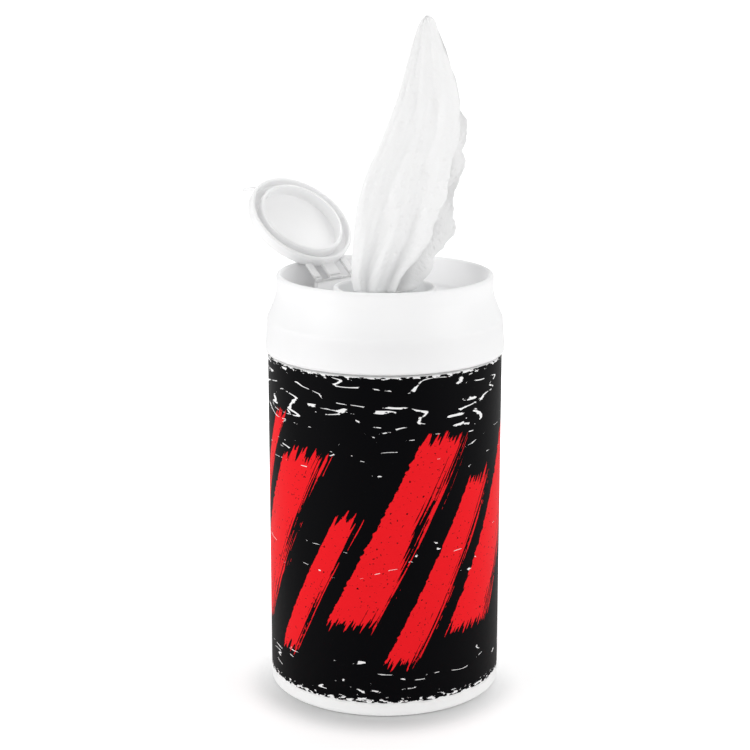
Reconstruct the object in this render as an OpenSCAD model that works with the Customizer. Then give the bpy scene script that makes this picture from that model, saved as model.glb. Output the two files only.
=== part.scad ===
// Countertop wipes dispenser: a press-on cap with a flip lid on a round can, and wipes pulled from a
// coreless roll through a slit nozzle. Millimetres, +Z up, the can's axis on Z and its foot at z = 0.
// The lid is drawn open, leaning on the cap's rim, as it stands in use.

/* [Can] */
// Radius of the can's straight wall, under the label
can_r = 32.9; // [28:0.1:40]
// Thickness of the can's wall
can_wall = 1.3; // [0.9:0.1:2]
// Height of the can's mouth
can_h = 105.6; // [80:0.1:140]
// How far the foot band stands out from the wall
band_out = 0.3; // [0.1:0.05:1]
// Height of the foot band
band_h = 4; // [3:0.1:8]
// Radius of the foot's lower edge
foot_round = 1.5; // [0.5:0.1:2.5]
// Width of the flat ring that the can stands on
foot_ring_w = 4; // [2:0.1:6]
// How far the base panel is raised above the foot ring
base_rise = 1.6; // [0.5:0.1:3]
// Thickness of the base panel
base_t = 1.4; // [1:0.1:3]
// How far the neck above the label is set in from the wall
neck_in = 0.7; // [0.3:0.05:1.2]
// Height of the step's slope between the wall and the neck
step_slope = 0.3; // [0.1:0.05:1]
// Height of the neck, from its step to the mouth
neck_h = 7.6; // [7:0.1:14]
// How far the snap bead stands out from the neck
bead_out = 0.25; // [0.1:0.05:0.6]
// Depth of the snap bead below the mouth
bead_drop = 3; // [2:0.1:5]
// Height of the snap bead
bead_h = 1.8; // [1.2:0.1:2.4]

/* [Label] */
// Thickness of the label film
label_t = 0.2; // [0.05:0.01:0.4]
// Layer of adhesive between the film and the can
glue_t = 0.02; // [0.01:0.01:0.1]
// Gap between the foot band and the label
label_low_gap = 0.3; // [0.1:0.1:2]
// Gap between the label and the neck's step
label_top_gap = 0.4; // [0.2:0.1:3]
// Width of the lap where the film's ends overlap, at the back
lap_w = 7; // [3:0.5:15]
// Thickness of the lap over the film
lap_t = 0.08; // [0.04:0.01:0.2]
// How far the lap's ends are trimmed back from the film's edges
lap_trim = 0.25; // [0.1:0.05:1]

/* [Cap] */
// Wall of the cap's skirt at its thickest
skirt_wall = 1.2; // [0.8:0.1:2]
// Room between the can's neck and the inside of the skirt
skirt_gap = 0.5; // [0.35:0.05:1.2]
// Room between the cap's snap rib and the can's snap bead
snap_gap = 0.05; // [0.03:0.01:0.1]
// Height of the skirt, up to the shoulder
skirt_h = 9.4; // [8:0.1:14]
// Room between the skirt's lower edge and the can's step
skirt_foot_gap = 0.3; // [0.2:0.1:2]
// How far the skirt draws in towards the shoulder
skirt_taper = 0.6; // [0:0.05:1]
// Height of the tapering shoulder
shoulder_h = 7.6; // [4:0.1:14]
// How far the shoulder draws in
shoulder_in = 2.7; // [1:0.1:5]
// Curvature of the shoulder, 1 is a straight cone
shoulder_curve = 1.35; // [1:0.05:2]
// Height of the upright rim above the shoulder
rim_h = 4.7; // [3:0.1:9]
// Thickness of the rim
rim_wall = 1.6; // [1:0.1:3]
// Depth of the deck below the rim's crest
deck_depth = 8.5; // [5:0.1:11]
// Thickness of the deck
deck_t = 1.4; // [1:0.1:2.5]
// Fillet between the deck and the rim
deck_fillet = 1.2; // [0.4:0.1:2]
// Height of the sealing flange that reaches into the mouth
valve_h = 7; // [5:0.1:9]
// Thickness of the sealing flange
valve_t = 0.9; // [0.6:0.1:1.5]
// Room between the sealing flange and the mouth
valve_gap = 0.1; // [0.05:0.01:0.3]

/* [Sealing ring] */
// Thickness of the pressed foam ring
ring_t = 0.8; // [0.4:0.1:1.6]
// How far the ring reaches past the mouth's outer edge
ring_over = 0.3; // [0.1:0.05:0.5]

/* [Nozzle] */
// Bore of the collar round the nozzle, as a radius
collar_r = 13.2; // [10:0.1:16]
// Wall of the collar
collar_wall = 1.3; // [0.8:0.1:2]
// Height of the collar above the deck
collar_h = 4.5; // [4:0.1:7]
// Radius of the opening that the wipe passes
slit_r = 5; // [4.8:0.1:7]
// Number of petals round the opening
petals = 8; // [5:1:12]
// Width of the slits between the petals
slit_w = 0.6; // [0.3:0.1:1.2]
// Thickness of the petals
petal_t = 0.7; // [0.4:0.1:1.2]
// How far the petals rise to their tips
petal_rise = 1.2; // [0.3:0.1:2]
// Thickness of the nozzle's flange
flange_t = 1.2; // [0.8:0.1:2]
// Width of the nozzle's flange
flange_w = 2.6; // [1.5:0.1:4]
// Running clearance of the nozzle and of the lid's plug in the collar
collar_gap = 0.1; // [0.05:0.01:0.3]
// How far the bead over the nozzle's flange stands out
hold_out = 0.25; // [0.1:0.05:0.5]

/* [Lid] */
// Direction of the lid's thumb tab when closed, from +X
lid_turn = -47; // [-180:1:180]
// Distance from the can's axis to the hinge's axis
hinge_r = 20.9; // [19:0.1:23]
// Height of the hinge's axis above the deck
hinge_up = 4.5; // [4:0.1:6]
// Room between the open lid and the rim that it leans on
lean_gap = 0.35; // [0.2:0.05:1]
// Radius of the lid
lid_r = 16.2; // [15:0.1:18]
// Wall of the lid
lid_wall = 1.25; // [0.8:0.05:1.5]
// Height of the lid's crown
lid_crown = 2; // [0.5:0.1:2]
// Depth of the lid's outer skirt
lid_skirt_h = 2.2; // [1:0.1:3]
// Wall of the lid's outer skirt
lid_skirt_wall = 1.1; // [0.6:0.1:1.5]
// Depth of the plug ring
plug_h = 2.6; // [1:0.1:3]
// Wall of the plug ring
plug_wall = 1; // [0.6:0.1:1.5]
// Width of the thumb tab
tab_w = 10.6; // [6:0.1:14]
// Length of the thumb tab
tab_len = 9.3; // [5:0.1:12]
// Thickness of the thumb tab
tab_t = 1.1; // [0.8:0.1:2]
// Upward tilt of the thumb tab when the lid is closed
tab_tilt = 49; // [0:1:60]

/* [Hinge] */
// Radius of the film's round core
film_r = 0.4; // [0.3:0.05:0.6]
// Room between the film's core and the straps
film_gap = 0.05; // [0.02:0.01:0.1]
// Thickness of the film where it leaves the post
film_web = 0.4; // [0.3:0.05:0.5]
// Height of the film above its post
film_h = 0.9; // [0.7:0.1:1.5]
// Width of the whole hinge
hinge_w = 15; // [12:0.5:18]
// Width of the middle strap
strap_w = 4.4; // [3:0.1:6]
// Width of each side strap
side_strap_w = 2; // [1:0.1:3]
// Thickness of the straps
strap_t = 0.9; // [0.6:0.1:1.2]
// Thickness of the hinge's post
post_t = 1.4; // [1:0.1:2.5]

/* [Wipes] */
// Room between the roll and the can's mouth that it is put in through
roll_gap = 0.8; // [0.3:0.1:6]
// Radius of the hollow that the wipes are pulled from
core_r = 8; // [6:0.5:12]
// Depth of the roll's top below the can's mouth
roll_low = 7.8; // [7.5:0.1:40]
// Thickness of the gathered wipe
wipe_t = 1.1; // [0.6:0.1:1.4]
// Height of the wipe's tip above the rim
wipe_up = 71; // [30:0.5:90]
// Share of the full folds in the wipe
fold_depth = 1; // [0.3:0.1:1.3]
// Radius of the twisted strip inside the can
tail_r = 4.4; // [3:0.1:4.5]
// Length of the twisted strip
tail_len = 58; // [30:1:70]
// Room between soft pieces and what they pass
soft_gap = 0.3; // [0.2:0.05:0.6]

/* [Hidden] */
$fn = 96;

// Can
neck_r = can_r - neck_in;
mouth_r = neck_r - can_wall;
step_z = can_h - neck_h;
bead_z = can_h - bead_drop;
bead_r = neck_r + bead_out;
band_r = can_r + band_out;
floor_z = base_rise + base_t;
inner_r = can_r - can_wall;
label_r = can_r + glue_t;
label_z = band_h + label_low_gap;
label_top = step_z - label_top_gap;

// Cap
skirt_in_r = neck_r + skirt_gap;
skirt_r = skirt_in_r + skirt_wall;
skirt_z = step_z + skirt_foot_gap;
land_z = can_h + ring_t;
shoulder_z = skirt_z + skirt_h;
rim_r = skirt_r - skirt_taper - shoulder_in;
rim_z = shoulder_z + shoulder_h;
shoulder_steps = 8;
crest_z = rim_z + rim_h;
rim_in_r = rim_r - rim_wall;
deck_z = crest_z - deck_depth;
valve_r = mouth_r - valve_gap;
valve_z = deck_z - deck_t - valve_h;

// Nozzle and collar
collar_out_r = collar_r + collar_wall;
collar_z = deck_z + collar_h;
seat_z = deck_z - deck_t / 2;
flange_r = collar_r - collar_gap;
flange_in_r = flange_r - flange_w;
seat_in_r = flange_in_r + 0.1;
flange_z = seat_z + flange_t;
petal_z = flange_z - petal_t;
tip_z = flange_z + petal_rise;

// Lid and hinge
hinge_z = deck_z + hinge_up;
film_z = hinge_z - film_h;
seat_r = film_r + film_gap;
plug_r = collar_r - collar_gap;
strap_y = hinge_w / 2 - side_strap_w / 2;
// The open lid's crown leans on the rim's round crest: both are seen from the hinge's axis
lean_x = rim_r - rim_wall / 2 - hinge_r;
lean_z = crest_z - rim_wall / 2 - hinge_z;
lean_off = rim_wall / 2 + crown(0.7 * lid_r) + lean_gap;
lid_open = 180 - asin(lean_off / norm([lean_x, lean_z])) - atan2(lean_z, lean_x);

// Wipes
roll_r = mouth_r - roll_gap;
roll_h = can_h - roll_low - floor_z;
neck_z = tip_z + soft_gap;
wipe_z = crest_z + wipe_up;
wipe_rows = 23;
wipe_cols = 20;
// Power that crowds the wipe's rows towards the nozzle, where it spreads fastest
row_crowd = 1.25;
tail_rows = 20;
tail_sides = 12;

// Points on an arc, from angle a to angle b
function arc(x, y, r, a, b, n = 6) =
    [for (i = [0:n]) [x + r * cos(a + (b - a) * i / n), y + r * sin(a + (b - a) * i / n)]];

// Smooth step from 0 to 1 between a and b
function ease(a, b, v) =
    let (t = min(1, max(0, (v - a) / (b - a)))) t * t * (3 - 2 * t);

// Straight-walled can with a raised base panel, a foot band, a set-in neck and a snap bead
module can_body() {
    color("white") rotate_extrude() polygon(concat(
        [[0, base_rise], [band_r - foot_round - foot_ring_w - base_rise / 2, base_rise],
         [band_r - foot_round - foot_ring_w, 0]],
        arc(band_r - foot_round, foot_round, foot_round, -90, 0),
        [[band_r, band_h - 0.3], [can_r, band_h], [can_r, step_z - step_slope], [neck_r, step_z]],
        [[neck_r, bead_z - bead_h / 2], [bead_r, bead_z - bead_h / 6],
         [bead_r, bead_z + bead_h / 12], [neck_r, bead_z + bead_h / 2]],
        arc(neck_r - 0.5, can_h - 0.5, 0.5, 0, 90, 4),
        arc(mouth_r + 0.5, can_h - 0.5, 0.5, 90, 180, 4),
        [[mouth_r, step_z], [inner_r, step_z - 2], [inner_r, floor_z + 2]],
        arc(inner_r - 2, floor_z + 2, 2, 0, -90, 5),
        [[0, floor_z]]
    ));
}

// Film label with its lap at the back
module label_wrap() {
    color([0.05, 0.05, 0.06]) {
        translate([0, 0, label_z]) rotate_extrude()
            translate([label_r, 0]) square([label_t, label_top - label_z]);
        lap_a = lap_w / can_r * 180 / PI;
        rotate([0, 0, 90 - lap_a / 2]) translate([0, 0, label_z + lap_trim]) rotate_extrude(angle = lap_a)
            translate([label_r + label_t / 2, 0])
                square([label_t / 2 + lap_t, label_top - label_z - 2 * lap_trim]);
    }
}

// Coreless roll, standing on the can's floor
module wipe_roll() {
    color([0.97, 0.97, 0.96]) translate([0, 0, floor_z]) rotate_extrude() polygon([
        [core_r, 1], [core_r + 1, 0], [roll_r - 2, 0], [roll_r, 2], [roll_r, roll_h - 1],
        [roll_r - 1, roll_h], [core_r + 1.5, roll_h], [core_r, roll_h - 1.5]
    ]);
}

// Foam ring on the can's mouth, under the cap's land
module sealing_ring() {
    color([0.85, 0.87, 0.88]) translate([0, 0, can_h]) rotate_extrude()
        translate([mouth_r, 0]) square([neck_r + ring_over - mouth_r, ring_t]);
}

// Skirt, shoulder, rim, deck, sealing flange and the nozzle's collar, as one revolved moulding
module cap_body() {
    rotate_extrude() polygon(concat(
        [[skirt_in_r, skirt_z + 0.5], [skirt_in_r + 0.3, skirt_z]],
        arc(skirt_r - 0.6, skirt_z + 0.6, 0.6, -90, 0, 4),
        [for (i = [0:shoulder_steps]) let (t = i / shoulder_steps)
            [rim_r + shoulder_in * pow(1 - t, shoulder_curve), shoulder_z + shoulder_h * t]],
        arc(rim_r - rim_wall / 2, crest_z - rim_wall / 2, rim_wall / 2, 0, 180, 10),
        arc(rim_in_r - deck_fillet, deck_z + deck_fillet, deck_fillet, 0, -90, 5),
        [[collar_out_r + 0.4, deck_z], [collar_out_r, deck_z + 0.4]],
        arc(collar_out_r - 0.4, collar_z - 0.4, 0.4, 0, 90, 3),
        [[collar_r + 0.3, collar_z], [collar_r, collar_z - 0.5]],
        [[collar_r, flange_z + 0.9], [collar_r - hold_out, flange_z + 0.5], [collar_r, flange_z + 0.1]],
        [[collar_r, seat_z], [seat_in_r, seat_z], [seat_in_r, seat_z - deck_t]],
        [[collar_r, seat_z - deck_t], [collar_out_r, deck_z - deck_t]],
        [[valve_r - valve_t - 0.6, deck_z - deck_t], [valve_r - valve_t, deck_z - deck_t - 0.6]],
        [[valve_r - valve_t, valve_z + 0.3], [valve_r - valve_t + 0.3, valve_z]],
        [[valve_r - 0.4, valve_z], [valve_r, valve_z + 1], [valve_r, land_z], [skirt_in_r, land_z]],
        [[skirt_in_r, bead_z - 0.6 * bead_h], [bead_r + snap_gap, bead_z - 0.95 * bead_h]],
        [[bead_r + snap_gap, bead_z - 1.1 * bead_h], [skirt_in_r, bead_z - 1.55 * bead_h]]
    ));
}

// Places what belongs to the lid: local +X points from the hinge to the closed thumb tab
module lid_frame() {
    rotate([0, 0, lid_turn]) children();
}

// Cap with the low post that carries the lid's hinge
module cap_shell() {
    color("white") {
        cap_body();
        lid_frame() translate([-hinge_r, 0, 0]) rotate([90, 0, 0])
            translate([0, 0, -hinge_w / 2]) linear_extrude(hinge_w) polygon([
                [-post_t / 2 - 0.8, deck_z - 0.2], [post_t / 2 + 0.8, deck_z - 0.2],
                [post_t / 2, deck_z + 0.8], [post_t / 2, film_z],
                [-post_t / 2, film_z], [-post_t / 2, deck_z + 0.8]
            ]);
    }
}

// Flexible insert with radial slits, resting on the deck's seat
module nozzle() {
    color([0.93, 0.94, 0.94]) difference() {
        rotate_extrude() polygon([
            [flange_in_r, seat_z], [flange_r, seat_z], [flange_r, flange_z], [flange_in_r, flange_z],
            [slit_r, tip_z], [slit_r, tip_z - petal_t], [flange_in_r, petal_z]
        ]);
        for (i = [0:petals - 1]) rotate([0, 0, (i + 0.5) * 360 / petals])
            translate([0, -slit_w / 2, seat_z - 1]) cube([flange_in_r - 0.6, slit_w, tip_z - seat_z + 2]);
    }
}

// Film of the hinge: a thin web on the post, with a round core under each strap
module hinge_film() {
    color("white") lid_frame() translate([-hinge_r, 0, hinge_z]) {
        translate([-film_web / 2, -hinge_w / 2, -film_h])
            cube([film_web, hinge_w, film_h - film_r - film_gap]);
        for (s = straps()) translate([0, s[0] - s[1] / 2, 0]) {
            rotate([-90, 0, 0]) cylinder(r = film_r, h = s[1], $fn = 32);
            translate([-film_web / 2, 0, -film_h]) cube([film_web, s[1], film_h]);
        }
    }
}

// Middle and width of each strap along the hinge
function straps() = [[-strap_y, side_strap_w], [0, strap_w], [strap_y, side_strap_w]];

// Height of the lid's outer face over the hinge's plane, at radius r
function crown(r) = lid_wall + lid_crown * (1 - pow(r / lid_r, 2));

// Domed disc, outer skirt and plug ring, drawn closed about the can's axis
module lid_disc() {
    top_r = lid_r - 0.5;
    plug_in_r = plug_r - plug_wall;
    rotate_extrude() polygon(concat(
        [for (i = [0:6]) [top_r * i / 6, crown(top_r * i / 6)]],
        [[lid_r, lid_wall - 0.6], [lid_r, 0.3 - lid_skirt_h], [lid_r - 0.3, -lid_skirt_h]],
        [[lid_r - lid_skirt_wall + 0.2, -lid_skirt_h], [lid_r - lid_skirt_wall, 0.2 - lid_skirt_h]],
        [[lid_r - lid_skirt_wall, crown(lid_r - lid_skirt_wall) - lid_wall],
         [plug_r, crown(plug_r) - lid_wall]],
        [[plug_r, 0.6 - plug_h], [plug_r - 0.3, -plug_h], [plug_in_r, -plug_h]],
        [for (i = [6:-1:0]) [plug_in_r * i / 6, crown(plug_in_r * i / 6) - lid_wall]]
    ));
}

// Tongue with a round end, rising from the lid's edge
module thumb_tab() {
    reach = tab_len + lid_wall;
    nose_r = 0.8 * tab_w;
    nose_x = reach - nose_r;
    translate([lid_r - lid_wall, 0, 0]) rotate([0, -tab_tilt, 0]) linear_extrude(tab_t) union() {
        translate([0, -tab_w / 2]) square([nose_x + sqrt(pow(nose_r, 2) - pow(tab_w / 2, 2)), tab_w]);
        intersection() {
            translate([nose_x, 0]) circle(nose_r, $fn = 64);
            translate([0, -tab_w / 2]) square([reach, tab_w]);
        }
    }
}

// Straps from the disc to the hinge, hollowed round the film's core
module lid_straps() {
    difference() {
        for (s = straps()) translate([-hinge_r, s[0] + s[1] / 2, 0]) rotate([90, 0, 0]) linear_extrude(s[1])
            polygon([
                [0, -0.3], [1, -strap_t / 2], [hinge_r - lid_r + 1, -strap_t / 2],
                [hinge_r - lid_r + 1, strap_t / 2], [1, strap_t / 2], [0, 0.3]
            ]);
        translate([-hinge_r, -hinge_w / 2 - 1, 0]) rotate([-90, 0, 0])
            cylinder(r = seat_r, h = hinge_w + 2, $fn = 48);
    }
}

// Flip lid, swung open about the hinge
module flip_lid() {
    color("white") lid_frame() translate([-hinge_r, 0, hinge_z]) rotate([0, -lid_open, 0])
        translate([hinge_r, 0, 0]) {
            lid_disc();
            thumb_tab();
            lid_straps();
        }
}

// Left edge, right edge of the front layer and right edge of the back layer of the standing wipe, each at
// a share of its height
left_edge = [[0, -4.1], [0.02, -8.6], [0.074, -9.2], [0.14, -9.1], [0.264, -8.4], [0.353, -7.2],
    [0.452, -4.8], [0.52, -2.3], [0.637, 1.3], [0.724, 3.7], [0.848, 6.6], [0.953, 9.3], [1, 10.9]];
front_edge = [[0, 2.6], [0.02, 3], [0.079, 5], [0.163, 9.9], [0.206, 12.2], [0.304, 15], [0.402, 17],
    [0.51, 18.8], [0.598, 20.6], [0.685, 20.5], [0.772, 19.1], [0.905, 15.5], [0.972, 13.6], [1, 12.2]];
back_edge = [[0, 4.1], [0.02, 8.8], [0.052, 11], [0.079, 12.8], [0.135, 15.1], [0.174, 17.2], [0.214, 19.2],
    [0.343, 19.6], [0.432, 21.7], [0.52, 22.4], [0.608, 22.1], [0.685, 21], [0.772, 19.5], [0.905, 15.9],
    [0.972, 13.9], [1, 12.4]];
half_depth = [[0, 3], [0.03, 5.2], [0.16, 6.2], [0.4, 4.8], [0.65, 3], [0.9, 1.3], [1, 0.7]];

// Middle line of the folded wipe at height share t: s runs from the front layer's edge, round the fold at
// the left, to the back layer's edge, with soft upright folds that are deepest where it is gathered
function wipe_mid(t, s) =
    let (
        u = abs(2 * s - 1),
        side = s < 0.5 ? -1 : 1,
        left = lookup(t, left_edge),
        reach = lookup(t, s < 0.5 ? front_edge : back_edge) - left,
        depth = lookup(t, half_depth),
        fold = fold_depth * 0.34 * depth * (1 - 0.55 * t)
    )
    [
        left + reach * pow(u, 1.4),
        side * depth * sqrt(1 - pow(1 - u, 2)) * (1 - 0.25 * u)
            + fold * sin(360 * (2.6 * u + 0.35 * t) + (s < 0.5 ? 20 : 200)) * ease(0, 0.3, u)
    ];

// Side of the folded wipe, half its thickness off the middle line
function wipe_point(t, s, off) =
    let (
        a = wipe_mid(t, max(0, s - 0.004)),
        b = wipe_mid(t, min(1, s + 0.004)),
        p = wipe_mid(t, s),
        d = (b - a) / norm(b - a)
    )
    [p[0] - d[1] * off, p[1] + d[0] * off];

// Standing wipe: a closed sheet, folded double and gathered into the nozzle
module lead_wipe() {
    ring = 2 * (wipe_cols + 1);
    points = [
        for (i = [0:wipe_rows])
        let (t = pow(i / wipe_rows, row_crowd), h = wipe_t / 2 * (1 - 0.5 * ease(0.6, 1, t)))
        for (j = [0:ring - 1])
            let (
                s = (j <= wipe_cols ? j : ring - 1 - j) / wipe_cols,
                p = wipe_point(t, s, j <= wipe_cols ? h : -h)
            )
            [p[0], p[1], neck_z + (wipe_z - neck_z) * t]
    ];
    sides = [
        for (i = [0:wipe_rows - 1]) for (j = [0:ring - 1])
            let (a = i * ring + j, b = i * ring + (j + 1) % ring)
            each [[a, a + ring, b], [b, a + ring, b + ring]]
    ];
    top = wipe_rows * ring;
    ends = [
        for (j = [0:wipe_cols - 1]) let (k = ring - 1 - j)
            each [[j, j + 1, k], [j + 1, k - 1, k], [top + j, top + k, top + j + 1],
                  [top + j + 1, top + k, top + k - 1]]
    ];
    color([0.98, 0.98, 0.97]) polyhedron(points, concat(sides, ends));
}

// Twisted strip from the nozzle to the inside of the roll, where its lower end lies along the wall
module wipe_tail() {
    low_z = neck_z - tail_len;
    thin = 0.42;
    aside = core_r - 1.6 * soft_gap - tail_r * thin;
    points = [
        for (i = [0:tail_rows])
            let (
                t = i / tail_rows,
                off = aside * ease(0.35, 0, t),
                flat = thin + (0.75 - thin) * ease(0.7, 1, t),
                turn = 90 + 400 * max(0, t - 0.35)
            )
            for (j = [0:tail_sides - 1])
                let (
                    a = 360 * j / tail_sides,
                    x = tail_r * cos(a),
                    y = tail_r * flat * sin(a)
                )
                [off + x * cos(turn) - y * sin(turn), x * sin(turn) + y * cos(turn), low_z + tail_len * t]
    ];
    sides = [
        for (i = [0:tail_rows - 1]) for (j = [0:tail_sides - 1])
            let (a = i * tail_sides + j, b = i * tail_sides + (j + 1) % tail_sides)
            each [[a, a + tail_sides, b], [b, a + tail_sides, b + tail_sides]]
    ];
    top = tail_rows * tail_sides;
    ends = [
        for (j = [1:tail_sides - 2])
            each [[0, j, j + 1], [top, top + j + 1, top + j]]
    ];
    color([0.98, 0.98, 0.97]) polyhedron(points, concat(sides, ends));
}

can_body();
label_wrap();
wipe_roll();
sealing_ring();
cap_shell();
nozzle();
hinge_film();
flip_lid();
lead_wipe();
wipe_tail();
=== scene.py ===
"""Countertop wipes dispenser: finishes, cloth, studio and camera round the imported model.

Lengths are in millimetres until a mesh is written, then in metres. The can's axis is on Z, the counter is
at z = 0, and the photograph was taken from -Y.
"""
import math

import bpy
import numpy as np
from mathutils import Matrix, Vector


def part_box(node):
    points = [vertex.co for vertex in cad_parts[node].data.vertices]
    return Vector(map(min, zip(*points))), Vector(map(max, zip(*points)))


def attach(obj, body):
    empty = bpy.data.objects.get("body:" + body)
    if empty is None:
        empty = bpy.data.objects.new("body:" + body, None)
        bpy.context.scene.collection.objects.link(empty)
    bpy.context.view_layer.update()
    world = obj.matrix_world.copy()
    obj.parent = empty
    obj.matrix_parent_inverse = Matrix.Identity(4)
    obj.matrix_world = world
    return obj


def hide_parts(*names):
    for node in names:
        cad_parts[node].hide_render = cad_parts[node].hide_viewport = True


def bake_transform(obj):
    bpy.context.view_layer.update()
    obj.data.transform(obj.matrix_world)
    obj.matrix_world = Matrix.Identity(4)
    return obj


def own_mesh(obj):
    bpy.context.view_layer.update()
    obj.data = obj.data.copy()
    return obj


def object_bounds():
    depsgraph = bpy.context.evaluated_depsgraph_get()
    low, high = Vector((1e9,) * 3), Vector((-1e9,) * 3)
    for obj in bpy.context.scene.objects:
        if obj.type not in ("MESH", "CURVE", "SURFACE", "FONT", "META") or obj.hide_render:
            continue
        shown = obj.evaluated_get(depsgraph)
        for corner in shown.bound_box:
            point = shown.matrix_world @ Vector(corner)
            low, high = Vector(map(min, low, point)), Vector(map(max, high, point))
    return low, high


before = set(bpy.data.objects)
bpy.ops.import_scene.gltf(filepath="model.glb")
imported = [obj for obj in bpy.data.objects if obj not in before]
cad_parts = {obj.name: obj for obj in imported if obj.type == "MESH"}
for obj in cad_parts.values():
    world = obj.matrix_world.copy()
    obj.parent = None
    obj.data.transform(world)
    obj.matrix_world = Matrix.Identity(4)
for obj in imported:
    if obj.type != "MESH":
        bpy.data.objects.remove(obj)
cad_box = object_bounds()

MM = 0.001
TAU = 2 * math.pi


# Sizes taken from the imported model, in millimetres

def extent(node):
    """Lowest and highest corner of a CAD node in millimetres."""
    low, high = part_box(node)
    return np.array(low) / MM, np.array(high) / MM


label_low, label_high = extent("label_wrap")
roll_low, roll_high = extent("wipe_roll")
wipe_low, wipe_high = extent("lead_wipe")
tail_low, tail_high = extent("wipe_tail")
label_r = label_high[0]
neck_z = wipe_low[2]


# Meshes

def grid_faces(rows, cols, wrap):
    """Quads of a rows x cols grid of points; wrap joins the last column to the first."""
    i, j = np.meshgrid(np.arange(rows - 1), np.arange(cols if wrap else cols - 1), indexing="ij")
    k = (j + 1) % cols
    return np.stack([i * cols + j, i * cols + k, (i + 1) * cols + k, (i + 1) * cols + j], -1).reshape(-1, 4)


def make_piece(name, points, faces, material, body, uv=None):
    """Mesh object from points in millimetres, with smooth faces, a finish and a slot."""
    mesh = bpy.data.meshes.new(name)
    mesh.from_pydata((points * MM).tolist(), [], [list(f) for f in faces])
    mesh.shade_smooth()
    if uv is not None:
        layer = mesh.uv_layers.new(name="cloth")
        loops = np.empty(len(mesh.loops), int)
        mesh.loops.foreach_get("vertex_index", loops)
        layer.data.foreach_set("uv", uv[loops].astype(np.float32).ravel())
    mesh.update()
    piece = bpy.data.objects.new(name, mesh)
    bpy.context.scene.collection.objects.link(piece)
    mesh.materials.append(material)
    if body:
        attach(piece, body)
    return piece


def smooth_keys(keys, t):
    """Curve through (t, value) keys at the array t. Its slope at a key is the harmonic mean of the slopes on
    either side, or level where they turn, so it never overshoots a key."""
    x, y = np.array(keys, float).T
    step = np.diff(y) / np.diff(x)
    before, after = step[:-1], step[1:]
    same_way = before * after > 0
    mean = 2 * before * after / np.where(same_way, before + after, 1)
    slope = np.concatenate([step[:1], np.where(same_way, mean, 0), step[-1:]])
    k = np.clip(np.searchsorted(x, t, side="right") - 1, 0, len(x) - 2)
    h = x[k + 1] - x[k]
    u = (t - x[k]) / h
    return ((2 * u**3 - 3 * u**2 + 1) * y[k] + (u**3 - 2 * u**2 + u) * h * slope[k]
            + (3 * u**2 - 2 * u**3) * y[k + 1] + (u**3 - u**2) * h * slope[k + 1])


def ripple(a, b, seed, waves=7):
    """Soft random relief of about unit size: a sum of sines in a and b with seeded directions and phases."""
    draw = np.random.default_rng(seed)
    total = np.zeros(np.broadcast(a, b).shape)
    for _ in range(waves):
        turn, phase, pace = draw.uniform(0, TAU), draw.uniform(0, TAU), draw.uniform(0.6, 1.7)
        total += np.sin(pace * (a * math.cos(turn) + b * math.sin(turn)) + phase)
    return total / math.sqrt(waves / 2)


def ease(a, b, v):
    """Smooth step from 0 to 1 between a and b."""
    t = np.clip((v - a) / (b - a), 0, 1)
    return t * t * (3 - 2 * t)


# Materials

# Size of the cloudy drift in a moulded plastic's colour and gloss, in millimetres
DRIFT_MM = 14


def linear(hex_colour):
    """Linear RGBA of an sRGB hex colour."""
    srgb = [int(hex_colour[i:i + 2], 16) / 255 for i in (1, 3, 5)]
    return [c / 12.92 if c <= 0.04045 else ((c + 0.055) / 1.055) ** 2.4 for c in srgb] + [1]


def add(tree, kind, inputs=None, **settings):
    """Adds a shader node: settings are its properties, and inputs are linked if they are sockets."""
    node = tree.nodes.new("ShaderNode" + kind)
    for name, value in settings.items():
        setattr(node, name, value)
    for key, value in (inputs or {}).items():
        if isinstance(value, bpy.types.NodeSocket):
            tree.links.new(value, node.inputs[key])
        else:
            node.inputs[key].default_value = value
    return node


def math_node(tree, operation, *values):
    """Output of a Math node; values are sockets or numbers."""
    return add(tree, "Math", dict(enumerate(values)), operation=operation).outputs[0]


def noise(tree, vector, scale, detail, **inputs):
    """Noise from 0 to 1 on a vector socket."""
    inputs.update(Vector=vector, Scale=scale, Detail=detail)
    return add(tree, "TexNoise", inputs).outputs["Fac"]


def relief(tree, shader, height, depth_mm, strength, normal=None):
    """Bumps the surface by a height socket from 0 to 1, over a softened normal if one is given."""
    inputs = {"Height": height, "Distance": depth_mm * MM, "Strength": strength}
    if normal:
        inputs["Normal"] = normal
    tree.links.new(add(tree, "Bump", inputs).outputs[0], shader.inputs["Normal"])


def new_material(name, **surface):
    """Empty material with a Principled surface whose uniform inputs are given."""
    material = bpy.data.materials.new(name)
    material.use_nodes = True
    tree = material.node_tree
    tree.nodes.clear()
    shader = add(tree, "BsdfPrincipled", {key.replace("_", " "): value for key, value in surface.items()})
    output = add(tree, "OutputMaterial")
    tree.links.new(shader.outputs[0], output.inputs[0])
    return material, tree, shader


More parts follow.
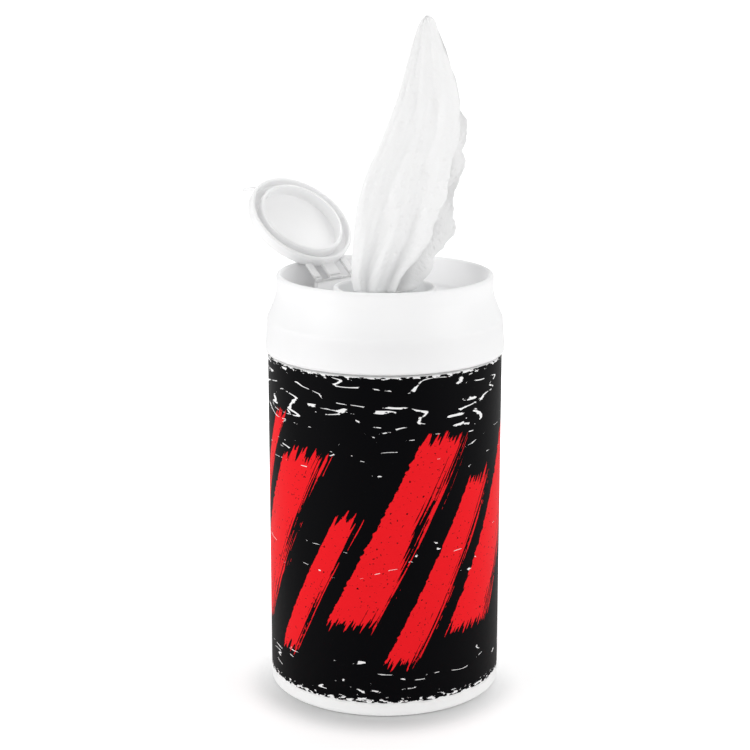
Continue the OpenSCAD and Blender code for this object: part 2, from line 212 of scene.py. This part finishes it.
def mottled_plastic(name, colour, shade, grain_mm, grain_depth_mm, rough, soft_edge_mm=0.4, **surface):
    """Moulded plastic: colour drifts slightly to shade, roughness drifts between the two values of rough, the
    mould's grain is a fine bump, and edges are shaded as if rounded by soft_edge_mm."""
    material, tree, shader = new_material(name, **surface)
    place = add(tree, "TexCoord").outputs["Object"]
    drift = noise(tree, place, 1 / (DRIFT_MM * MM), 3.0)
    grain = noise(tree, place, 1 / (grain_mm * MM), 2.0)
    mix = add(tree, "Mix", {0: drift, 6: linear(colour), 7: linear(shade)}, data_type="RGBA")
    tree.links.new(mix.outputs[2], shader.inputs["Base Color"])
    sheen = add(tree, "MapRange", {"Value": drift, "To Min": rough[0], "To Max": rough[1]}).outputs[0]
    tree.links.new(sheen, shader.inputs["Roughness"])
    soft = add(tree, "Bevel", {"Radius": soft_edge_mm * MM}, samples=6).outputs[0]
    relief(tree, shader, grain, grain_depth_mm, 0.5, soft)
    return material


def polypropylene(piece, soft_edge_mm, milky):
    """Injection-moulded white polypropylene of one piece: a soft gloss over a body that is milky where it is
    thin. milky is the share of the light that passes under the surface."""
    return mottled_plastic(
        "injection_moulded_polypropylene_" + piece, "#F9F9F9", "#F4F4F5", 0.9, 0.012, (0.36, 0.46),
        soft_edge_mm, IOR=1.49, Subsurface_Weight=milky, Subsurface_Scale=2.2 * MM,
        Subsurface_Radius=(1, 1, 1),
    )


def polyethylene():
    """Blow-moulded white polyethylene: waxy, less even than the cap."""
    return mottled_plastic(
        "blow_moulded_polyethylene", "#FAFAF9", "#F3F4F4", 1.6, 0.03, (0.38, 0.5),
        IOR=1.54, Subsurface_Weight=0.15, Subsurface_Scale=1.2 * MM, Subsurface_Radius=(1, 1, 1),
    )


def elastomer():
    """Soft translucent nozzle elastomer: matt and a little cloudy."""
    return mottled_plastic(
        "moulded_thermoplastic_elastomer", "#EEF0F0", "#E2E6E7", 0.7, 0.02, (0.5, 0.62),
        IOR=1.5, Subsurface_Weight=0.4, Subsurface_Scale=1.5 * MM, Subsurface_Radius=(1, 1, 1),
    )


def foam():
    """Closed-cell polyethylene foam: cells of 0.3 mm, drawn as a fine pebbled bump."""
    return mottled_plastic(
        "closed_cell_polyethylene_foam", "#DFE3E5", "#D2D7DA", 0.3, 0.12, (0.7, 0.85), IOR=1.5,
    )


def nonwoven():
    """Moist spunlace nonwoven: fibres of tangled viscose, drawn out along the web, with dimples about 2 mm
    apart. The cloth's own coordinates are in millimetres."""
    material, tree, shader = new_material(
        "spunlace_viscose_nonwoven", IOR=1.45, Roughness=0.62, Subsurface_Weight=0.35,
        Subsurface_Scale=1.2 * MM, Subsurface_Radius=(1, 1, 1), Sheen_Weight=0.12, Sheen_Roughness=0.5,
    )
    place = add(tree, "TexCoord").outputs["UV"]
    along = add(tree, "Mapping", {"Vector": place, "Scale": (1.0, 0.22, 1.0)}).outputs[0]
    fibre = noise(tree, along, 1.6, 6.0, Roughness=0.7)
    cloud = noise(tree, place, 0.12, 3.0)
    dimple = add(tree, "TexVoronoi", {"Vector": place, "Scale": 0.5, "Randomness": 0.35}).outputs["Distance"]
    pit = add(tree, "MapRange", {"Value": dimple, "From Min": 0.0, "From Max": 0.35}).outputs[0]
    tone = math_node(tree, "MULTIPLY_ADD", fibre, 0.45, math_node(tree, "MULTIPLY", cloud, 0.55))
    mix = add(tree, "Mix", {0: tone, 6: linear("#F8F8F8"), 7: linear("#FFFFFF")}, data_type="RGBA")
    tree.links.new(mix.outputs[2], shader.inputs["Base Color"])
    height = math_node(tree, "MULTIPLY_ADD", fibre, 0.5, math_node(tree, "MULTIPLY", pit, 0.5))
    relief(tree, shader, height, 0.32, 0.9)
    return material


# The label's slanted strokes: middle (mm round the can from the front, at half height), width, foot and head
STROKES = [
    (-87, 8, 29, 74), (-71, 13, 17, 66), (-52, 5, 34, 83), (-37, 15, 20, 74), (-14, 7, 16, 57),
    (2, 13, 27, 80), (22, 9, 16, 66), (40, 16, 24, 77), (62, 6, 31, 69), (80, 12, 18, 75),
]
STROKE_SLANT = math.tan(math.radians(27))

# How far the worn white edges reach into the label at its top and at its foot, in millimetres
WORN_TOP = 1.3
WORN_FOOT = 2.4

# White scratches round the label: foot and head of the band, half the thickness in noise units, share missing
WHITE_SCRATCHES = [(82, 97, 0.014, 0.5), (70, 86, 0.008, 0.58), (40, 52, 0.006, 0.6), (4, 17, 0.009, 0.56)]


def printed_film():
    """Black printed film with a satin varnish: red dry-brush strokes, all slanted alike, broken white
    scratches and worn white edges. All is drawn on u, the millimetres round the can from its front, and v, the
    height."""
    material, tree, shader = new_material("printed_polypropylene_film", IOR=1.46, Specular_IOR_Level=0.04)

    def calc(operation, *values):
        return math_node(tree, operation, *values)

    place = add(tree, "TexCoord").outputs["Object"]
    axes = add(tree, "SeparateXYZ", {0: place})
    angle = calc("ARCTAN2", axes.outputs[0], calc("MULTIPLY", axes.outputs[1], -1.0))
    u = calc("MULTIPLY", angle, label_r)
    v = calc("MULTIPLY", axes.outputs[2], 1 / MM)
    middle = (label_low[2] + label_high[2]) / 2
    slant = calc("MULTIPLY_ADD", calc("SUBTRACT", v, middle), -STROKE_SLANT, u)

    def patch(a, b, scale_a, scale_b, detail=2.0):
        """Noise from 0 to 1 on a and b, stretched by the two scales in 1/mm."""
        spot = add(tree, "CombineXYZ", {0: calc("MULTIPLY", a, scale_a), 1: calc("MULTIPLY", b, scale_b)})
        return noise(tree, spot.outputs[0], 1.0, detail)

    bristle = patch(slant, v, 1.5, 0.045)
    tooth = patch(slant, v, 0.7, 0.7, 3.0)
    end_low = calc("MULTIPLY_ADD", patch(slant, v, 0.9, 0.0), 16.0, -8.0)
    end_high = calc("MULTIPLY_ADD", patch(slant, v, 0.8, 0.01, 3.0), 18.0, -9.0)
    red = None
    for at, width, foot, head in STROKES:
        across = calc("DIVIDE", calc("SUBTRACT", slant, float(at) - width / 2), float(width))
        left = calc("GREATER_THAN", calc("MULTIPLY_ADD", tooth, 0.16, across), 0.08)
        dry = calc("MULTIPLY_ADD", bristle, 1.5, calc("MULTIPLY", tooth, 0.25))
        right = calc("LESS_THAN", across, calc("ADD", dry, 0.12))
        low = calc("GREATER_THAN", calc("ADD", v, end_low), float(foot))
        high = calc("LESS_THAN", calc("ADD", v, end_high), float(head))
        edge = calc("LESS_THAN", across, 1.25)
        stroke = calc("MULTIPLY", calc("MULTIPLY", left, right), calc("MULTIPLY", low, high))
        stroke = calc("MULTIPLY", stroke, edge)
        red = stroke if red is None else calc("MAXIMUM", red, stroke)
    fleck = calc("LESS_THAN", patch(u, v, 1.1, 1.1, 4.0), 0.66)
    red = calc("MULTIPLY", red, fleck)

    white = None
    worn = patch(u, v, 0.55, 1.3, 4.0)
    gaps = patch(u, v, 0.22, 0.5, 5.0)
    for index, (foot, head, thick, gate) in enumerate(WHITE_SCRATCHES):
        course = patch(calc("ADD", u, 60.0 * index), v, 0.035, 0.17)
        near = calc("LESS_THAN", calc("ABSOLUTE", calc("SUBTRACT", course, 0.5)), thick)
        within = calc("MULTIPLY", calc("GREATER_THAN", v, float(foot)), calc("LESS_THAN", v, float(head)))
        line = calc("MULTIPLY", calc("MULTIPLY", near, within), calc("GREATER_THAN", gaps, gate))
        white = line if white is None else calc("MAXIMUM", white, line)
    for edge_z, way, reach in ((label_high[2], -1.0, WORN_TOP), (label_low[2], 1.0, WORN_FOOT)):
        depth = calc("MULTIPLY", calc("SUBTRACT", v, edge_z), way / reach)
        torn = calc("LESS_THAN", depth, calc("MULTIPLY_ADD", worn, 4.0, -1.95))
        white = calc("MAXIMUM", white, torn)

    ink = add(tree, "Mix", {0: red, 6: linear("#050507"), 7: linear("#ED1C24")}, data_type="RGBA")
    ink = add(tree, "Mix", {0: white, 6: ink.outputs[2], 7: linear("#F2F2F2")}, data_type="RGBA")
    tree.links.new(ink.outputs[2], shader.inputs["Base Color"])
    varnish = add(tree, "MapRange", {"Value": tooth, "To Min": 0.42, "To Max": 0.52}).outputs[0]
    tree.links.new(varnish, shader.inputs["Roughness"])
    wave = noise(tree, place, 1 / (9 * MM), 1.0)
    relief(tree, shader, wave, 0.05, 0.4)
    return material


# Standing wipe, in shares of its height: its left edge, its front layer's right edge, its back layer's right
# edge, and half its depth
LEFT_EDGE = [
    (0, -4.1), (0.02, -8.6), (0.074, -9.2), (0.14, -9.1), (0.264, -8.4), (0.353, -7.2), (0.452, -4.8),
    (0.52, -2.3), (0.637, 1.3), (0.724, 3.7), (0.848, 6.3), (0.953, 8.7), (0.985, 9.9), (1, 11.2),
]
FRONT_EDGE = [
    (0, 2.6), (0.02, 3), (0.079, 5), (0.163, 9.9), (0.206, 12.2), (0.304, 15), (0.402, 17), (0.51, 18.8),
    (0.598, 20.6), (0.685, 20.5), (0.772, 19.1), (0.905, 15.5), (0.972, 13.8), (0.988, 13.2), (1, 11.9),
]
BACK_EDGE = [
    (0, 4.1), (0.01, 8.6), (0.045, 11), (0.079, 12.8), (0.135, 15.1), (0.174, 17.2), (0.214, 19.2),
    (0.343, 19.6), (0.432, 21.7), (0.52, 22.4), (0.608, 22.1), (0.685, 21), (0.772, 19.5), (0.905, 15.9),
    (0.972, 13.9), (0.988, 13.3), (1, 12),
]
HALF_DEPTH = [(0, 3), (0.03, 5.2), (0.16, 6.2), (0.4, 4.8), (0.65, 3), (0.9, 1.3), (1, 0.6)]

# The cloth: its thickness, and each wipe's flat width and length, in millimetres
CLOTH_T = 0.4
NEXT_FLAT = (40, 60)


def wipe_points(s, t):
    """Middle of the folded cloth: s runs from the front layer's free edge round the fold at the left to the
    back layer's free edge, t up from the nozzle. Across a layer the reach grows as u to the power 1.4 and the
    depth as a quarter circle; upright folds are sines in u, deepest low down, with soft ripples over them."""
    u = np.abs(2 * s - 1)
    side = np.where(s < 0.5, -1.0, 1.0)
    left = smooth_keys(LEFT_EDGE, t)
    front = smooth_keys(FRONT_EDGE, t)
    back = smooth_keys(BACK_EDGE, t)
    depth = smooth_keys(HALF_DEPTH, t)
    height = wipe_high[2] - neck_z - 0.3
    free = ease(0.8, 1, u) * (1 - 0.75 * ease(0.6, 0.8, t))
    ragged = free * (0.3 * ripple(t * 55, s * 3, 5) + 0.14 * ripple(t * 150, s * 2, 9))
    reach = np.where(s < 0.5, front, back) - left + ragged * np.where(s < 0.5, 0.8, 1.3) * ease(0, 0.1, t)
    fold = 0.16 * depth * (1 - 0.8 * ease(0.05, 0.55, t))
    low_fold = np.sin(TAU * (2.6 * u + 0.35 * t) + np.where(s < 0.5, 0.35, 3.5)) * ease(0, 0.3, u)
    crumple = 0.22 * ripple(u * 15, t * 9, 11) + 0.1 * ripple(u * 34, t * 26, 12)
    crumple *= ease(0.02, 0.12, t) * ease(0, 0.15, u) * (1 - 0.5 * ease(0.7, 1, t))
    x = left + reach * u**1.4
    y = side * depth * np.sqrt(np.clip(1 - (1 - u) ** 2, 0, 1)) * (1 - 0.25 * u) + fold * low_fold + crumple
    z = neck_z + 0.15 + height * t + 0 * s
    return np.stack([x, y, z], -1)


def give_thickness(piece):
    """Makes a sheet's grid CLOTH_T thick, half to each side."""
    thickness = piece.modifiers.new("thickness", "SOLIDIFY")
    thickness.thickness = CLOTH_T * MM
    thickness.offset = 0


def standing_wipe(material):
    """The wipe that stands in the nozzle, as one cloth grid given its thickness."""
    rows, cols = 241, 181
    t, s = np.meshgrid(np.linspace(0, 1, rows) ** 1.4, np.linspace(0, 1, cols), indexing="ij")
    points = wipe_points(s, t)
    step = np.linalg.norm(np.diff(points, axis=1), axis=2)
    run = np.concatenate([np.zeros((rows, 1)), np.cumsum(step, axis=1)], axis=1)
    uv = np.stack([run, points[..., 2]], -1).reshape(-1, 2)
    faces = grid_faces(rows, cols, False)
    piece = make_piece("standing_wipe", points.reshape(-1, 3), faces, material, "wipe", uv)
    give_thickness(piece)
    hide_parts("lead_wipe")
    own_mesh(piece)
    return piece


def next_wipe(material):
    """The next wipe on its way up: a strip pleated in five passes and twisted as it rises from the roll."""
    rows, cols = 121, 101
    t, s = np.meshgrid(np.linspace(0, 1, rows), np.linspace(0, 1, cols), indexing="ij")
    low, high = tail_low[2] + 0.3, tail_high[2] + 0.4
    half = 1.45 + 1.2 * ease(0.65, 1, t)
    across = (2 * s - 1) * half
    width = 3.95 * np.sqrt(np.clip(1 - (across / (half + 0.7)) ** 2, 0, 1))
    pleat = width * np.sin(TAU * 2.5 * (s - 0.5)) + 0.12 * ripple(s * 20, t * 14, 21)
    turn = math.radians(90) + math.radians(400) * np.clip(t - 0.35, 0, 1)
    aside = (tail_high[0] - 4.0) * ease(0.35, 0, t)
    x = aside + pleat * np.cos(turn) - across * np.sin(turn)
    y = pleat * np.sin(turn) + across * np.cos(turn)
    points = np.stack([x, y, low + (high - low) * t], -1)
    uv = np.stack([s * NEXT_FLAT[0], points[..., 2]], -1).reshape(-1, 2)
    faces = grid_faces(rows, cols, False)
    piece = make_piece("next_wipe", points.reshape(-1, 3), faces, material, None, uv)
    give_thickness(piece)
    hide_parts("wipe_tail")
    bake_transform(piece)
    return piece


# The roll: radius of its hollow and depth of one folded layer, in millimetres
ROLL_CORE_R = 8.0
ROLL_LAYER = 0.9


def wipes_roll(material):
    """The roll, wound without a core: a closed profile swept round the axis, whose top carries one
    groove that spirals outwards by one layer a turn."""
    inner, outer = ROLL_CORE_R, roll_high[0]
    low, high = roll_low[2], roll_high[2]
    turns = 144
    radii = np.linspace(inner + 0.3, outer - 0.3, 201)
    angle = np.linspace(0, TAU, turns, endpoint=False)[:, None]
    groove = 0.3 * np.abs(np.sin(math.pi * (radii / ROLL_LAYER - angle / TAU))) ** 0.5 + 0.1 * ripple(
        radii * 1.2, np.cos(angle) * 9, 31)
    top = np.stack([np.broadcast_to(radii, groove.shape), high - 0.45 + groove], -1)
    wall = np.stack([np.full(3, outer), np.linspace(high - 0.8, low + 0.8, 3)], -1)
    bottom = np.stack([radii[::-1], np.full(radii.shape, low + 0.05)], -1)[::8]
    bore = np.stack([np.full(3, inner), np.linspace(low + 0.6, high - 0.8, 3)], -1)
    fixed = np.concatenate([wall, bottom, bore])
    profile = np.concatenate([top, np.broadcast_to(fixed, (turns, *fixed.shape))], axis=1)
    r, z = profile[..., 0], profile[..., 1]
    points = np.stack([r * np.cos(angle), r * np.sin(angle), z], -1)
    around, along = points.shape[:2]
    i, j = np.meshgrid(np.arange(around), np.arange(along), indexing="ij")
    a, b = (i + 1) % around, (j + 1) % along
    faces = np.stack([a * along + j, a * along + b, i * along + b, i * along + j], -1).reshape(-1, 4)
    uv = np.stack([np.broadcast_to(angle, r.shape) * 20, z + r], -1).reshape(-1, 2)
    piece = make_piece("wipes_roll", points.reshape(-1, 3), faces, material, "can", uv)
    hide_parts("wipe_roll")
    return piece


# Studio

# Middle of the painted contact shadow on the floor, and the radii between which the floor's painted
# shadow turns to white, with how much each adds
PAINTED_SHADOW_MIDDLE = (-1, -7)
PAINTED_SHADOW_FADES = [(24, 42, 0.55), (40, 120, 0.5)]


def floor_with_painted_shadow():
    """Pale floor with a painted contact shadow: the camera sees it painted darker near the foot and pure
    white further out; every other ray meets an even pale floor."""
    material, tree, shader = new_material("floor_with_painted_shadow", Roughness=0.9)
    shader.inputs["Specular IOR Level"].default_value = 0.1
    seen = add(tree, "LightPath").outputs["Is Camera Ray"]
    # Camera rays see a darker grey floor, painted shade that the glow below lifts to white away from the foot
    mix = add(tree, "Mix", {0: seen, 6: linear("#FAFAFA"), 7: linear("#C9C9C9")}, data_type="RGBA")
    tree.links.new(mix.outputs[2], shader.inputs["Base Color"])
    place = add(tree, "TexCoord").outputs["Object"]
    to_middle = (-PAINTED_SHADOW_MIDDLE[0] * MM, -PAINTED_SHADOW_MIDDLE[1] * MM, 0)
    middle = add(tree, "VectorMath", {0: place, 1: to_middle}, operation="ADD").outputs[0]
    away = add(tree, "VectorMath", {0: middle}, operation="LENGTH").outputs["Value"]
    near, far = (
        add(tree, "MapRange", {"Value": away, "From Min": low * MM, "From Max": high * MM, "To Min": 0.0,
                               "To Max": level}, interpolation_type="SMOOTHSTEP").outputs[0]
        for low, high, level in PAINTED_SHADOW_FADES)
    share = math_node(tree, "MULTIPLY", math_node(tree, "ADD", near, far), seen)
    # Camera-only glow that grows with distance from the foot, leaving a painted contact shadow near it
    white_beyond_painted_shadow = add(tree, "Emission", {"Color": (1, 1, 1, 1), "Strength": share})
    both = add(tree, "AddShader", {0: shader.outputs[0], 1: white_beyond_painted_shadow.outputs[0]})
    output = next(n for n in tree.nodes if n.type == "OUTPUT_MATERIAL")
    tree.links.new(both.outputs[0], output.inputs[0])
    half = 15.0
    corners = [(-half, -half, 0), (half, -half, 0), (half, half, 0), (-half, half, 0)]
    mesh = bpy.data.meshes.new("floor_with_painted_shadow")
    mesh.from_pydata(corners, [], [(0, 1, 2, 3)])
    floor = bpy.data.objects.new("floor_with_painted_shadow", mesh)
    bpy.context.scene.collection.objects.link(floor)
    mesh.materials.append(material)


def studio_world(strength):
    """Even grey-white surround that is pure white to the camera."""
    world = bpy.data.worlds.new("studio")
    bpy.context.scene.world = world
    world.use_nodes = True
    tree = world.node_tree
    tree.nodes.clear()
    path = add(tree, "LightPath")
    seen = path.outputs["Is Camera Ray"]
    level = add(tree, "MapRange", {"Value": seen, "To Min": strength, "To Max": 1.0}).outputs[0]
    back = add(tree, "Background", {"Color": (1, 1, 1, 1), "Strength": level})
    output = add(tree, "OutputWorld")
    tree.links.new(back.outputs[0], output.inputs[0])


# Softboxes: name, place and size in metres, power in watts
SOFTBOXES = [
    ("key_softbox", (0.74, -0.3, 0.36), (0.5, 0.7), 2.55),
    ("fill_softbox", (-0.7, -0.34, 0.34), (0.5, 0.7), 2.8),
    ("top_softbox", (0.05, 0.45, 0.85), (0.7, 0.5), 2.2),
]


def softbox(name, place, size, power):
    """Area light at place (m), aimed at the middle of the object."""
    lamp = bpy.data.lights.new(name, "AREA")
    lamp.shape = "RECTANGLE"
    lamp.size, lamp.size_y = size
    lamp.energy = power
    box = bpy.data.objects.new(name, lamp)
    bpy.context.scene.collection.objects.link(box)
    low, high = cad_box
    aim = (low + high) / 2
    box.location = place
    box.rotation_euler = (aim - box.location).to_track_quat("-Z", "Y").to_euler()


def photo_camera():
    """Camera fitted to the photograph's ellipses and outlines: it looks along +Y, pitched down by pitch
    degrees, with no shift. Distances are in millimetres."""
    distance, height, pitch, aside = 520, 218.1, 13.81, -2.8
    focal_px, picture_px, sensor = 1881.7, 750, 36
    camera = bpy.data.cameras.new("photo_camera")
    camera.sensor_width = sensor
    camera.lens = focal_px / picture_px * sensor
    camera.clip_start, camera.clip_end = 0.01, 100
    holder = bpy.data.objects.new("photo_camera", camera)
    bpy.context.scene.collection.objects.link(holder)
    holder.location = (aside * MM, -distance * MM, height * MM)
    holder.rotation_euler = (math.radians(90 - pitch), 0, 0)
    bpy.context.scene.camera = holder


def dress_cad():
    """Gives each CAD node that stays its finish."""
    lid_white = polypropylene("lid", 0.4, 0.95)
    finishes = {
        "can_body": polyethylene(), "label_wrap": printed_film(), "sealing_ring": foam(),
        "cap_shell": polypropylene("cap", 1.2, 0.25), "hinge_film": lid_white, "flip_lid": lid_white,
        "nozzle": elastomer(),
    }
    for name, material in finishes.items():
        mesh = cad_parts[name].data
        mesh.materials.clear()
        mesh.materials.append(material)


bpy.context.scene.view_settings.view_transform = "Standard"
dress_cad()
cloth = nonwoven()
standing_wipe(cloth)
next_wipe(cloth)
wipes_roll(cloth)
floor_with_painted_shadow()
studio_world(0.57)
for lamp in SOFTBOXES:
    softbox(*lamp)
photo_camera()
